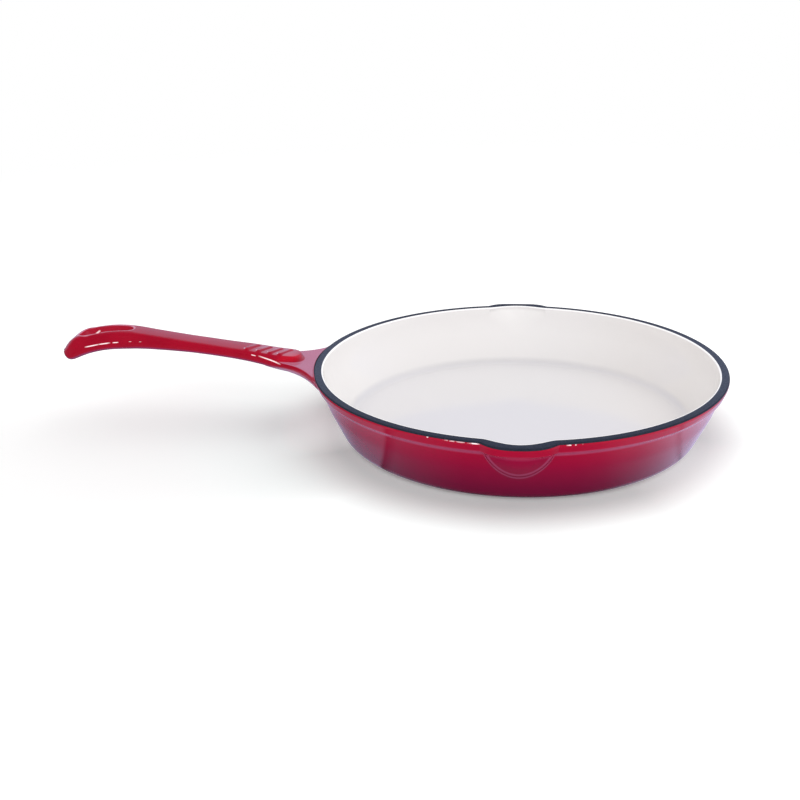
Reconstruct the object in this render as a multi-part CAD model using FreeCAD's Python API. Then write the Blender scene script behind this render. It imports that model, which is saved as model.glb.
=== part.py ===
import FreeCAD, Part
import math
import os

# Enamelled cast iron skillet with two pouring spouts: an iron casting and three enamel coats.
# Lengths in millimetres. The pan axis is Z and the pan rests on z = 0.
# The handle points along -X, the spouts face -Y and +Y.

os.makedirs("parts", exist_ok=True)

# ---------------------------------------------------------------- pan and coats
COAT = 0.5              # thickness of every enamel coat
RIM_R = 130.0           # outer radius of the lip
RIM_H = 42.7            # height of the lip
WELL_R = 125.2          # radius of the cooking well at the lip
WELL_LEAN = 0.18        # radius lost per mm of depth just below the lip
WELL_BLEND = 2.0        # blend between that steep part and the wall
WALL_R0 = 111.0         # outer wall cone, radius where it would meet z = 0
WALL_TAN = 0.473        # outer wall flare, radius gained per mm of height
WALL_LEAN = math.degrees(math.atan(WALL_TAN))
WALL_T = 3.87           # wall thickness measured horizontally
WALL_RECESS = 0.8       # how far the outer wall steps in towards the lip
RECESS_Z = 20.0         # height where that step begins
RECESS_RISE = 13.0      # height over which it develops
BASE_FILLET = 10.4      # outer rounding between wall and underside
FLOOR_T = 4.8           # thickness of the cooking floor
FLOOR_FILLET = 6.5      # inner rounding between floor and wall
FLAT_NEAR = 3.0         # points on the flats, inward from a fillet's centre
FLAT_FAR = 6.0
OUTER_Z = [float(z) for z in range(9, 32, 2)] + [32.8]
INNER_Z = (39.0, 37.2, 35.4, 33.6, 31.6, 29.6, 27.6, 25.6, 23.6, 21.6, 19.6, 17.6, 15.6, 13.6)

LIP_Z = 34.2            # underside of the thickened lip
LIP_LEAN = 0.40         # the lip's outer face leans in by this much per mm
LIP_LEAN_Z = 40.6       # below this height
LIP_FACE_Z = 38.4       # middle point of the outer face
LIP_FACE_DROP = 2.7     # its upper point, below the lip top
# share of the way from wall to lip face, height above LIP_Z
LIP_STEP = ((0.0, 0.0), (0.35, 0.9), (0.8, 1.7), (1.0, 2.7))
# distance inward from the outer face, distance below the lip top
LIP_OUTER_EDGE = ((0.05, 1.9), (0.2, 1.2), (0.6, 0.55), (1.3, 0.1), (2.1, 0.0))
# distance outward from the well edge, distance below the lip top
LIP_INNER_EDGE = ((1.7, 0.0), (0.9, 0.1), (0.35, 0.5), (0.05, 1.1), (-0.15, 2.0))

# ---------------------------------------------------------------- spouts
SPOUT_OUT = 5.7         # how far a spout stands out, outside
SPOUT_IN = 5.0          # how far a spout stands out, inside
SPOUT_DIP = 0.45        # how far the lip drops at a spout
SPOUT_SLOPE = 0.86      # radius lost per mm of depth inside a spout
SPOUT_BLEND = 1.6       # blend between spout and well wall
BOWL_DEEP = 15.5        # depth of the half bowl under a spout
BOWL_TOP_Z = 35.0       # height of the bowl's upper edge
BOWL_TOP_IN = 2.9       # its upper edge, inward from the lip
BOWL_CURVE = 1.6        # exponent of the bowl's section
BOWL_TUCK = 1.5         # radius lost per mm below the bowl
BOWL_BLEND = 5.0        # blend between bowl and outer wall
# widths along the lip: half width, power of the curve, exponent of its height
SPOUT_INSIDE = (20.5, 2, 1.5)
SPOUT_OUTSIDE = (21.5, 4, 1.3)
BOWL_EDGE = (20.0, 2, 1.5)
BOWL_DEPTH = (18.6, 2, 0.75)

# ---------------------------------------------------------------- coat borders
RIM_COAT_DROP = 1.4     # how far the lip coat runs down the outer side
RIM_REGION_OUT = 0.4    # reach of its region beyond the lip
LIP_SPLIT = 0.45        # inner edge of the lip coat, out from the well edge
REGION_FLOOR = 1.9      # depth of the cooking-side region into the floor
REGION_WALL = 1.5       # and into the wall
REGION_Z = (13.0, 17.0, 21.0, 25.0, 29.0, 33.0, 36.0, 38.0, 39.4)

# ---------------------------------------------------------------- handle
# distance from the pan axis, half width, top, bottom
HANDLE = (
    (138.0, 3.0, 45.0, 41.2), (138.7, 5.4, 46.2, 40.0), (140.2, 7.6, 47.1, 38.6),
    (143.0, 9.3, 47.8, 37.5), (147.0, 10.3, 48.4, 37.6), (154.0, 10.8, 49.1, 39.1),
    (162.0, 10.7, 50.2, 41.3), (172.5, 10.4, 51.8, 43.8), (185.0, 9.9, 53.4, 45.8),
    (198.0, 9.6, 55.2, 47.8), (211.0, 9.5, 57.1, 49.3), (224.0, 9.5, 59.1, 50.3),
    (236.0, 9.7, 61.1, 51.1), (245.0, 10.2, 62.6, 51.5), (254.0, 11.0, 63.4, 51.8),
    (262.0, 11.9, 63.3, 51.6), (270.0, 12.3, 62.5, 50.5), (277.0, 12.3, 61.4, 48.6),
    (284.0, 12.1, 59.7, 46.0), (289.0, 10.9, 57.4, 44.4), (293.0, 8.5, 54.4, 43.9),
    (295.8, 5.4, 51.8, 44.7), (297.0, 2.4, 50.0, 46.4),
)
# web that spreads from the handle into the pan wall, same columns
WEB = (
    (162.0, 9.8, 46.0, 42.0), (156.0, 11.2, 45.3, 40.4), (150.0, 13.0, 44.8, 39.2),
    (145.0, 14.9, 44.4, 38.3), (140.0, 17.2, 43.9, 37.4), (136.0, 20.4, 43.4, 36.8),
    (132.5, 24.2, 42.9, 36.2), (129.5, 28.2, 42.3, 35.7), (126.5, 32.8, 41.8, 35.2),
    (123.0, 36.6, 41.4, 34.8), (118.0, 38.5, 41.2, 34.3), (112.0, 38.8, 41.1, 34.0),
)
LOOP_POINTS = 28        # points around a handle or web section
WIDEST_SHARE = 0.56     # height of a section's widest line, share of its height
LOWER_POWER = 2.6       # superellipse power below that line
HOLE_NEAR = 249.5       # hang hole, end nearer the pan
HOLE_FAR = 285.6        # hang hole, end nearer the tip
HOLE_R_FAR = 8.3        # radius of the wide end
HOLE_R_NEAR = 5.0       # radius of the narrow end
HOLE_TOOL_Z = 30.0      # bottom of the cutting prism
HOLE_TOOL_H = 50.0
RIDGE_S = (150.0, 156.4, 163.6, 171.3)   # slanted ridges on the handle top
RIDGE_HALF = 5.2        # half length of a ridge
RIDGE_W = 4.0           # width of a ridge
RIDGE_H = 4.0           # height of its block, mostly sunk in the handle
RIDGE_RISE = 1.0        # rise above the handle top
RIDGE_FILLET = 0.35
RIDGE_SLANT = -30.0     # degrees from square across the handle
SLOPE_REACH = 3.0       # the handle's slope is taken this far to each side
CORE_IN = 2.0           # wall core, inward from the outer wall
CORE_LIP_IN = 2.4       # wall core, inward from the lip


def pan_azimuths():
    """Azimuths of the pan sections, closer together at the spouts."""
    azimuths = []
    angle = 0.0
    while angle < 359.999:
        azimuths.append(math.radians(angle))
        off_spout = min(abs(angle - 90.0), abs(angle - 270.0))
        angle += 1.25 if off_spout < 14.9 else (2.5 if off_spout < 29.9 else 5.0)
    return azimuths


AZIMUTHS = pan_azimuths()


# ---------------------------------------------------------------- curves
def smooth_max(a, b, blend):
    share = max(blend - abs(a - b), 0.0) / blend
    return max(a, b) + share * share * blend * 0.25


def smooth_step(u):
    u = min(max(u, 0.0), 1.0)
    return u * u * u * (u * (u * 6.0 - 15.0) + 10.0)


def spout_shape(azimuth, half_width, power, exponent):
    """1 at the middle of a spout, falling to 0 at half_width and beyond."""
    height = 1.0 - abs(math.cos(azimuth) * RIM_R / half_width) ** power
    return height ** exponent if height > 0.0 else 0.0


def wall_out(z):
    return WALL_R0 + WALL_TAN * z


def lip_top(spout):
    return RIM_H - SPOUT_DIP * spout


def well_edge(spout):
    return WELL_R + SPOUT_IN * spout


def wall_in(z, spout):
    """Radius of the cooking side, steeper near the lip, with the spout."""
    wall = wall_out(z) - WALL_T
    steep = WELL_R - WELL_LEAN * (RIM_H - z)
    radius = -smooth_max(-wall, -steep, WELL_BLEND)
    if spout <= 0.0:
        return radius
    out, drop = LIP_INNER_EDGE[-1]
    channel = well_edge(spout) + out - SPOUT_SLOPE * (lip_top(spout) - drop - z)
    return smooth_max(radius, channel, SPOUT_BLEND)


def wall_with_bowl(z, azimuth):
    """Radius of the outer wall, with the half bowl under the spout."""
    wall = wall_out(z) - WALL_RECESS * smooth_step((z - RECESS_Z) / RECESS_RISE)
    depth = BOWL_DEEP * spout_shape(azimuth, *BOWL_DEPTH)
    if depth <= 0.0:
        return wall
    foot_z = BOWL_TOP_Z - depth
    foot_r = wall_out(foot_z)
    top_r = RIM_R - BOWL_TOP_IN + SPOUT_OUT * spout_shape(azimuth, *BOWL_EDGE)
    down = min(max((BOWL_TOP_Z - z) / depth, 0.0), 1.0)
    bowl = (foot_r + (top_r - foot_r) * (1.0 - down ** BOWL_CURVE)
            - BOWL_TUCK * max(foot_z - z, 0.0))
    return smooth_max(wall, bowl, BOWL_BLEND)


def arc(centre_r, centre_z, radius, start, end, steps):
    """Points (r, z) along an arc, angles in degrees."""
    angles = [math.radians(start + (end - start) * i / steps) for i in range(steps + 1)]
    return [(centre_r + radius * math.cos(a), centre_z + radius * math.sin(a))
            for a in angles]


def fillet_centre_r(z, fillet):
    """Centre radius at height z of a fillet that touches the outer cone from inside."""
    return wall_out(z) - fillet / math.cos(math.radians(WALL_LEAN))


FLOOR_FILLET_Z = FLOOR_T + FLOOR_FILLET
FLOOR_FILLET_R = fillet_centre_r(FLOOR_FILLET_Z, FLOOR_FILLET) - WALL_T


# ---------------------------------------------------------------- surfaces
def closed_surface(rows):
    """Cubic surface, periodic along each row, clamped across the rows."""
    across = len(rows)
    around = len(rows[0])
    poles = [[FreeCAD.Vector(*row[i]) for row in rows] for i in range(around)]
    surface = Part.BSplineSurface()
    surface.buildFromPolesMultsKnots(
        poles, [1] * (around + 1), [4] + [1] * (across - 4) + [4],
        [float(i) for i in range(around + 1)], [float(i) for i in range(across - 2)],
        True, False, 3, 3)
    return surface


def capped_solid(rows):
    """Solid inside a closed surface, its two open ends closed by planes."""
    side = closed_surface(rows).toShape()
    caps = [Part.Face(Part.Wire([edge])) for edge in side.Edges
            if edge.isClosed() and not edge.isSeam(side)]
    shell = Part.makeShell([side] + caps)
    shell.sewShape()
    solid = Part.makeSolid(shell)
    if solid.Volume < 0:
        solid.reverse()
    return solid


def solid_around_axis(sections):
    """Solid through one (r, z) section per azimuth."""
    return capped_solid([
        [(r * math.cos(azimuth), r * math.sin(azimuth), z)
         for azimuth, (r, z) in zip(AZIMUTHS, ring)]
        for ring in zip(*sections)])


def largest_solid(shape):
    return max(shape.Solids, key=lambda solid: solid.Volume)


# ---------------------------------------------------------------- pan
def pan_profile(azimuth):
    """Section of the pan at an azimuth, from the underside over the lip to the floor."""
    spout = spout_shape(azimuth, *SPOUT_INSIDE)
    top = lip_top(spout)
    base_r = fillet_centre_r(BASE_FILLET, BASE_FILLET)
    points = [(base_r - FLAT_FAR, 0.0), (base_r - FLAT_NEAR, 0.0)]
    points += arc(base_r, BASE_FILLET, BASE_FILLET, -90.0, -WALL_LEAN, 8)
    points += [(wall_with_bowl(z, azimuth), z) for z in OUTER_Z]

    lip_r = RIM_R + SPOUT_OUT * spout_shape(azimuth, *SPOUT_OUTSIDE)

    def lip_face(z):
        return lip_r - LIP_LEAN * max(LIP_LEAN_Z - z, 0.0)

    step_r = wall_with_bowl(LIP_Z, azimuth)
    for share, rise in LIP_STEP:
        z = LIP_Z + rise
        points.append((step_r + (lip_face(z) - step_r) * share, z))
    points += [(lip_face(z), z) for z in (LIP_FACE_Z, top - LIP_FACE_DROP)]
    points += [(lip_r - inward, top - drop) for inward, drop in LIP_OUTER_EDGE]
    points += [(well_edge(spout) + out, top - drop) for out, drop in LIP_INNER_EDGE]

    points += [(wall_in(z, spout), z) for z in INNER_Z]
    points += arc(FLOOR_FILLET_R, FLOOR_FILLET_Z, FLOOR_FILLET, -WALL_LEAN, -90.0, 8)
    points += [(FLOOR_FILLET_R - FLAT_NEAR, FLOOR_T), (FLOOR_FILLET_R - FLAT_FAR, FLOOR_T)]
    return points


def inset(points, depth):
    """Move an open section into the metal, to the left of its travel."""
    moved = []
    last = len(points) - 1
    for i, (r, z) in enumerate(points):
        before = points[max(i - 1, 0)]
        after = points[min(i + 1, last)]
        along_r = after[0] - before[0]
        along_z = after[1] - before[1]
        length = math.hypot(along_r, along_z)
        moved.append((r - along_z / length * depth, z + along_r / length * depth))
    return moved


def pan(depth):
    return solid_around_axis([inset(pan_profile(azimuth), depth) for azimuth in AZIMUTHS])


# ---------------------------------------------------------------- handle
def handle_section(x, half_width, top, bottom, upper_power, taper):
    """Superellipse loop across the handle, narrowed towards its top by taper."""
    middle = bottom + WIDEST_SHARE * (top - bottom)
    points = []
    for i in range(LOOP_POINTS):
        angle = 2.0 * math.pi * i / LOOP_POINTS
        cosine, sine = math.cos(angle), math.sin(angle)
        power = upper_power if sine >= 0 else LOWER_POWER
        height = (top - middle) if sine >= 0 else (middle - bottom)
        y = half_width * math.copysign(abs(cosine) ** (2.0 / power), cosine)
        z = middle + height * math.copysign(abs(sine) ** (2.0 / power), sine)
        y *= 1.0 - taper * max(z - middle, 0.0) / (top - middle)
        points.append((x, y, z))
    return points


def station_solid(stations, depth, end_depth, upper_power, taper):
    """Solid through the stations, inset by depth and by end_depth at its ends."""
    first, last = stations[0][0], stations[-1][0]
    middle = 0.5 * (first + last)
    rows = []
    for distance, half_width, top, bottom in stations:
        pulled = distance - end_depth * (distance - middle) / abs(last - middle)
        rows.append(handle_section(-pulled, half_width - depth, top - depth,
                                   bottom + depth, upper_power, taper))
    return capped_solid(rows)


def hole_tool(growth):
    """Teardrop prism through the handle end, grown outward."""
    far_r, near_r = HOLE_R_FAR + growth, HOLE_R_NEAR + growth
    far, near = HOLE_FAR - HOLE_R_FAR, HOLE_NEAR + HOLE_R_NEAR
    tangent = math.acos((HOLE_R_FAR - HOLE_R_NEAR) / (far - near))

    def point(distance, y):
        return FreeCAD.Vector(-distance, y, HOLE_TOOL_Z)

    def tangent_points(centre, radius):
        distance = centre - radius * math.cos(tangent)
        y = radius * math.sin(tangent)
        return point(distance, y), point(distance, -y)

    far_left, far_right = tangent_points(far, far_r)
    near_left, near_right = tangent_points(near, near_r)
    edges = [Part.Arc(far_left, point(far + far_r, 0.0), far_right).toShape(),
             Part.makeLine(far_right, near_right),
             Part.Arc(near_right, point(near - near_r, 0.0), near_left).toShape(),
             Part.makeLine(near_left, far_left)]
    return Part.Face(Part.Wire(edges)).extrude(FreeCAD.Vector(0, 0, HOLE_TOOL_H))


def handle_top(distance):
    """Height of the handle top, linear between stations."""
    for start, end in zip(HANDLE[:-1], HANDLE[1:]):
        if start[0] <= distance <= end[0]:
            share = (distance - start[0]) / (end[0] - start[0])
            return start[2] + share * (end[2] - start[2])


def ridge(distance, depth):
    rise = handle_top(distance + SLOPE_REACH) - handle_top(distance - SLOPE_REACH)
    slope = math.degrees(math.atan2(rise, 2 * SLOPE_REACH))
    half_length = RIDGE_HALF - depth
    half_width = 0.5 * RIDGE_W - depth * 0.8
    block = Part.makeBox(2 * half_width, 2 * half_length, RIDGE_H,
                         FreeCAD.Vector(-half_width, -half_length, -RIDGE_H))
    top_edges = [edge for edge in block.Edges
                 if all(abs(vertex.Z) < 1e-6 for vertex in edge.Vertexes)]
    block = block.makeFillet(RIDGE_FILLET, top_edges)
    origin = FreeCAD.Vector(0, 0, 0)
    block.rotate(origin, FreeCAD.Vector(0, 0, 1), RIDGE_SLANT)
    block.rotate(origin, FreeCAD.Vector(0, 1, 0), slope)
    block.translate(FreeCAD.Vector(-distance, 0, handle_top(distance) + RIDGE_RISE - depth))
    return block


def wall_core():
    """Everything inside the middle of the wall, used to end the root web."""
    outline = ((0, -2), (wall_out(-2) - CORE_IN, -2), (wall_out(34) - CORE_IN, 34),
               (RIM_R - CORE_LIP_IN, 41), (RIM_R - CORE_LIP_IN, 60), (0, 60), (0, -2))
    wire = Part.makePolygon([FreeCAD.Vector(r, 0, z) for r, z in outline])
    return Part.Face(wire).revolve(FreeCAD.Vector(0, 0, 0), FreeCAD.Vector(0, 0, 1), 360)


def handle(depth):
    grip = station_solid(HANDLE, depth, end_depth=depth, upper_power=4.2, taper=0.20)
    grip = grip.fuse(station_solid(WEB, depth, end_depth=0.0, upper_power=4.0, taper=0.06))
    for distance in RIDGE_S:
        grip = grip.fuse(ridge(distance, depth))
    return largest_solid(grip.cut(wall_core()).cut(hole_tool(depth)))


def skillet(depth):
    """The whole skillet, its surface moved inward by depth."""
    return largest_solid(pan(depth).fuse(handle(depth)))


# ---------------------------------------------------------------- coat regions
def cooking_side_region():
    """Region that holds the cooking-side coat."""
    floor_z = FLOOR_T - REGION_FLOOR
    sections = []
    for azimuth in AZIMUTHS:
        spout = spout_shape(azimuth, *SPOUT_INSIDE)
        top = lip_top(spout)
        edge = well_edge(spout) + LIP_SPLIT
        section = [(FLOOR_FILLET_R - FLAT_FAR, floor_z), (FLOOR_FILLET_R - FLAT_NEAR, floor_z)]
        section += arc(FLOOR_FILLET_R, FLOOR_FILLET_Z, FLOOR_FILLET + REGION_FLOOR,
                       -90.0, -WALL_LEAN, 6)
        section += [(wall_in(z, spout) + REGION_WALL, z) for z in REGION_Z]
        # the last ring is level, so that a plane can close it
        section += [(edge + 0.3, top - 1.7), (edge, top - 0.9), (edge, top),
                    (edge, top + 1.5), (edge, RIM_H + 6.0)]
        sections.append(section)
    return solid_around_axis(sections)


def lip_region():
    """Region above the lower edge of the lip coat, clear of the handle."""
    z = RIM_H - RIM_COAT_DROP
    ring = Part.makeCylinder(RIM_R + RIM_REGION_OUT, 20.0, FreeCAD.Vector(0, 0, z))
    spouts = Part.makeBox(60.0, 300.0, 20.0, FreeCAD.Vector(-30.0, -150.0, z))
    return ring.fuse(spouts)


# ---------------------------------------------------------------- pieces
def export(name, shape):
    """Write the piece without slivers of 1 cubic millimetre or less."""
    solids = sorted(shape.Solids, key=lambda solid: -solid.Volume)
    solids = [solid for solid in solids if solid.Volume > 1.0]
    body = solids[0] if len(solids) == 1 else Part.makeCompound(solids)
    body.exportStep("parts/" + name + ".step")


iron = skillet(COAT)
enamel = skillet(0.0).cut(iron)
cooking_side = cooking_side_region()
lip = lip_region()
outer_enamel = enamel.cut(cooking_side)

export("iron_casting", iron)
export("exterior_enamel", outer_enamel.cut(lip))
export("interior_enamel", enamel.common(cooking_side))
export("rim_enamel", outer_enamel.common(lip))
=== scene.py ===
# An enamelled cast-iron pan with a pouring spout on either side of its lip.
# The pan's axis is Z and its base lies at z = 0. The handle runs out along -X,
# the spouts point along -Y and +Y, and the camera looks from the front, -Y.
# The shapes are worked out in mm; materials, lights and camera use metres.
import math
from functools import cached_property

import bmesh
import bpy
import numpy as np
from mathutils import Matrix, Vector


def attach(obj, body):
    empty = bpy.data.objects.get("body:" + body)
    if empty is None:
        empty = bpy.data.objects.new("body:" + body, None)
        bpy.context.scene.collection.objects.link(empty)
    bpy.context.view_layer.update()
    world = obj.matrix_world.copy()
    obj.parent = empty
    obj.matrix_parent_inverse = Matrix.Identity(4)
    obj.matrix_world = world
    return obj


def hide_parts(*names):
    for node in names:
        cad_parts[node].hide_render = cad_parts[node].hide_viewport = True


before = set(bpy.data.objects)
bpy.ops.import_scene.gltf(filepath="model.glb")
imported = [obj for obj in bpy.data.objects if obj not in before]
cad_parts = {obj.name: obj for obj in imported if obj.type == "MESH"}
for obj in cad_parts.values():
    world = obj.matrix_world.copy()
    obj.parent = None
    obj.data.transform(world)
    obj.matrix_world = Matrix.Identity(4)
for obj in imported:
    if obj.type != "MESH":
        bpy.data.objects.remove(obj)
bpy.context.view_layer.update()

# ------------------------------------------------------------------ sizes, mm
LIP_HEIGHT = 42.7
LIP_RADIUS = 130.0
LIP_LEAN = 0.40            # the lip's outer face leans in by this much per mm down
STEP_START = 34.2          # start of the step under the lip
STEP_HEIGHT = 2.6
BAND_INNER = 125.2         # inner edge of the dark band on the lip
BAND_DROP = 1.15           # the dark coat runs this far down the outer side
CREAM_ROLL = 0.95          # the cream coat rolls over this far inside the band

WALL_FOOT = 111.0          # outer wall's radius where its line meets z = 0
WALL_SLOPE = 0.473         # gain in radius per mm of height
WALL_THICK = 3.87
BASE_ROUND = 10.4          # outer base rounding
FLOOR_TOP = 4.8
FLOOR_ROUND = 6.5          # inner floor rounding

SPOUT_OUT = 5.7            # how far a spout pushes out the lip's outer side
SPOUT_IN = 5.0             # and its inner side
SPOUT_DIP = 0.45           # how far the lip drops at a spout
BOWL_DEPTH = 15.5          # bowl of the spout, under the lip
BOWL_HALF = 18.6
BOWL_TOP = 35.0

WALL_ANGLE = math.atan(WALL_SLOPE)
WALL_COS, WALL_SIN = math.cos(WALL_ANGLE), math.sin(WALL_ANGLE)

# centre radius of the base rounding, and where the wall takes over from it
BASE_CENTRE = WALL_FOOT + WALL_SLOPE * BASE_ROUND - BASE_ROUND / WALL_COS
BASE_END = BASE_ROUND * (1 - WALL_SIN)

# the same for the rounding of the inner floor
WELL_CENTRE_Z = FLOOR_TOP + FLOOR_ROUND
WELL_CENTRE = (WALL_FOOT - WALL_THICK + WALL_SLOPE * WELL_CENTRE_Z
               - FLOOR_ROUND / WALL_COS)
WELL_END = WELL_CENTRE_Z - FLOOR_ROUND * WALL_SIN

# handle bar: distance from the pan axis, half width, top, bottom
BAR = np.array([
    (130.0, 8.6, 45.60, 37.00), (140.0, 9.2, 47.40, 37.40),
    (146.5, 9.9, 48.34, 37.64), (153.0, 10.2, 48.84, 39.14),
    (160.0, 10.2, 49.88, 41.07), (166.0, 10.1, 50.90, 42.60),
    (172.5, 9.9, 51.80, 44.00), (179.0, 9.7, 52.65, 45.15),
    (185.6, 9.5, 53.45, 46.15), (198.6, 9.3, 55.35, 47.95),
    (211.7, 9.2, 57.15, 49.45), (224.8, 9.2, 59.25, 50.45),
    (237.9, 9.4, 61.35, 51.35), (246.0, 9.9, 62.75, 51.65),
    (254.0, 10.8, 63.45, 51.80), (261.0, 11.6, 63.35, 51.75),
    (267.0, 12.0, 62.85, 51.10), (273.0, 12.1, 61.95, 49.90),
    (279.0, 12.0, 61.35, 48.10), (285.0, 12.0, 59.75, 45.60),
    (289.0, 12.0, 57.45, 43.60), (292.3, 12.0, 54.50, 43.30),
    (295.0, 12.0, 51.20, 44.60), (298.0, 12.0, 48.60, 46.60),
])
TIP_END = 297.0            # far end of the bar and its radius in plan
TIP_RADIUS = 12.0
NOSE_END = 138.0           # near end of the bar and the length of its rounding
NOSE_LENGTH = 7.6

# web joining bar and pan: the same columns
WEB = np.array([
    (104.0, 38.5, 41.0, 33.6), (112.0, 38.5, 41.1, 34.0),
    (120.0, 38.2, 41.3, 34.4), (125.0, 35.0, 41.5, 34.9),
    (127.0, 31.8, 41.8, 35.3), (130.0, 27.2, 42.3, 35.8),
    (133.0, 23.4, 42.9, 36.3), (136.5, 19.8, 43.4, 36.9),
    (140.0, 16.9, 43.8, 37.5), (144.0, 15.0, 44.2, 38.2),
    (148.0, 13.4, 44.5, 38.9), (153.0, 11.8, 44.9, 39.8),
    (158.0, 10.4, 45.5, 40.9), (166.0, 9.4, 46.5, 42.8),
])
WEB_START, WEB_END = 100.0, 162.0

# teardrop hanging hole: distance from the pan axis and radius of its two ends
HOLE_FAR, HOLE_FAR_R = 277.3, 8.3
HOLE_NEAR, HOLE_NEAR_R = 254.5, 5.0

# slanting ridges across the top of the bar
RIDGES = (171.3, 163.6, 156.4, 150.0)   # distance from the pan axis
RIDGE_ANGLE = math.radians(60.0)
RIDGE_HALF = 5.2                        # half length
RIDGE_RADIUS = 2.5
RIDGE_SINK = 1.7                        # its centre line lies this far under the top
RIDGE_SHIFT = -0.9                      # sideways, along Y


# ------------------------------------------------------------- shaping helpers
def profile(rows, column, sigma, start, stop):
    """One column of a station table, smoothed, as a function of distance."""
    step = 0.25
    stations = np.arange(start, stop, step)
    values = np.interp(stations, rows[:, 0], rows[:, column])
    reach = int(4 * sigma / step)
    offsets = np.arange(-reach, reach + 1) * step
    weights = np.exp(-0.5 * (offsets / sigma) ** 2)
    weights /= weights.sum()
    padded = np.pad(values, len(offsets) // 2, mode="edge")
    values = np.convolve(padded, weights, mode="valid")
    return lambda along: np.interp(along, stations, values)


bar_half, bar_top, bar_bottom = (
    profile(BAR, column, sigma=3.0, start=70, stop=340) for column in (1, 2, 3))
web_half, web_top, web_bottom = (
    profile(WEB, column, sigma=2.2, start=60, stop=210) for column in (1, 2, 3))


def smooth_max(a, b, blend):
    overlap = np.maximum(blend - np.abs(a - b), 0.0) / blend
    return np.maximum(a, b) + overlap * overlap * blend * 0.25


def smooth_min(a, b, blend):
    return -smooth_max(-a, -b, blend)


def smooth_step(t):
    t = np.clip(t, 0.0, 1.0)
    return t * t * t * (t * (t * 6 - 15) + 10)


def spouts(x, y, r):
    """Spout shapes, 0 to 1, of the lip's outer side, its bowl and its inner side."""
    r = np.maximum(r, 1.0)
    side = np.abs(y) > 0.5 * r
    arc = x / r * LIP_RADIUS

    def shape(half, power, fullness):
        rise = np.maximum(1.0 - np.abs(arc / half) ** power, 0.0) ** fullness
        return np.where(side, rise, 0.0)

    return shape(21.5, 4, 1.3), shape(20.0, 2, 1.5), shape(20.5, 2, 1.5)


def lip_top(spout):
    return LIP_HEIGHT - SPOUT_DIP * spout


def band_edge(spout):
    """Height on the outer side where the dark band meets the red coat."""
    return lip_top(spout) - BAND_DROP - 0.4 * spout


# ---------------------------------------- fields: negative inside, 0 on the skin
def outer_radius(x, y, r, z):
    """Radius of the outer side at height z, above the base rounding."""
    spout_out, spout_bowl, _ = spouts(x, y, r)
    wall = WALL_FOOT + WALL_SLOPE * z - 0.8 * smooth_step((z - 20.0) / 13.0)
    safe_r = np.maximum(r, 1.0)
    # 1 in the middle of the spout's bowl, 0 at its ends
    fill = np.where(np.abs(y) > 0.5 * safe_r,
                    1.0 - (x / safe_r * LIP_RADIUS / BOWL_HALF) ** 2, 0.0)
    depth = BOWL_DEPTH * np.maximum(fill, 1e-4) ** 0.75
    crease_z = BOWL_TOP - depth
    crease_r = WALL_FOOT + WALL_SLOPE * crease_z
    down = np.clip((BOWL_TOP - z) / depth, 0.0, 1.0)
    rim = LIP_RADIUS - 2.9 + SPOUT_OUT * spout_bowl
    bowl = (crease_r + (rim - crease_r) * (1 - down ** 1.6)
            - 1.5 * np.maximum(crease_z - z, 0.0))
    body = smooth_max(wall, np.where(fill > 0, bowl, -1e3), 5.0)
    lip = LIP_RADIUS + SPOUT_OUT * spout_out - LIP_LEAN * np.maximum(40.6 - z, 0.0)
    body = np.minimum(body, lip)
    return body + (lip - body) * smooth_step((z - STEP_START) / STEP_HEIGHT)


def pan_field(x, y, z):
    r = np.hypot(x, y)
    side = (r - outer_radius(x, y, r, np.maximum(z, BASE_END))) * WALL_COS
    out_by, below = r - BASE_CENTRE, BASE_ROUND - z
    corner = np.hypot(out_by, z - BASE_ROUND) - BASE_ROUND
    low = np.where(out_by > 0, np.where(below > 0, corner, out_by - BASE_ROUND), -z)
    in_round = (out_by > 0) & (below > 0) & (out_by * WALL_SIN < below * WALL_COS)
    field = np.where((z < BASE_END) | in_round, low, side)
    return np.maximum(field, z - 48.0)


def rounded_slab(plan, top, bottom, z, top_z, bottom_z, top_round, bottom_round):
    """Slab with rounded edges from its distances in plan, above and below."""
    split = bottom_z + bottom_round
    split = split + 0.5 * np.maximum(top_z - bottom_z - top_round - bottom_round, 0)
    upper = z > split
    rounding = np.where(upper, top_round, bottom_round)
    a = plan + rounding
    b = np.where(upper, top, bottom) + rounding
    return (np.minimum(np.maximum(a, b), 0.0)
            + np.hypot(np.maximum(a, 0.0), np.maximum(b, 0.0)) - rounding)


def hole_distance(along, y):
    """Signed distance to the teardrop in plan."""
    across, back = np.abs(y), HOLE_FAR - along
    length = HOLE_FAR - HOLE_NEAR
    taper = (HOLE_FAR_R - HOLE_NEAR_R) / length
    run = math.sqrt(1 - taper * taper)
    place = run * back - taper * across
    near_end = np.hypot(across, back - length) - HOLE_NEAR_R
    flank = across * run + back * taper - HOLE_FAR_R
    return np.where(place < 0, np.hypot(across, back) - HOLE_FAR_R,
                    np.where(place > run * length, near_end, flank))


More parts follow.
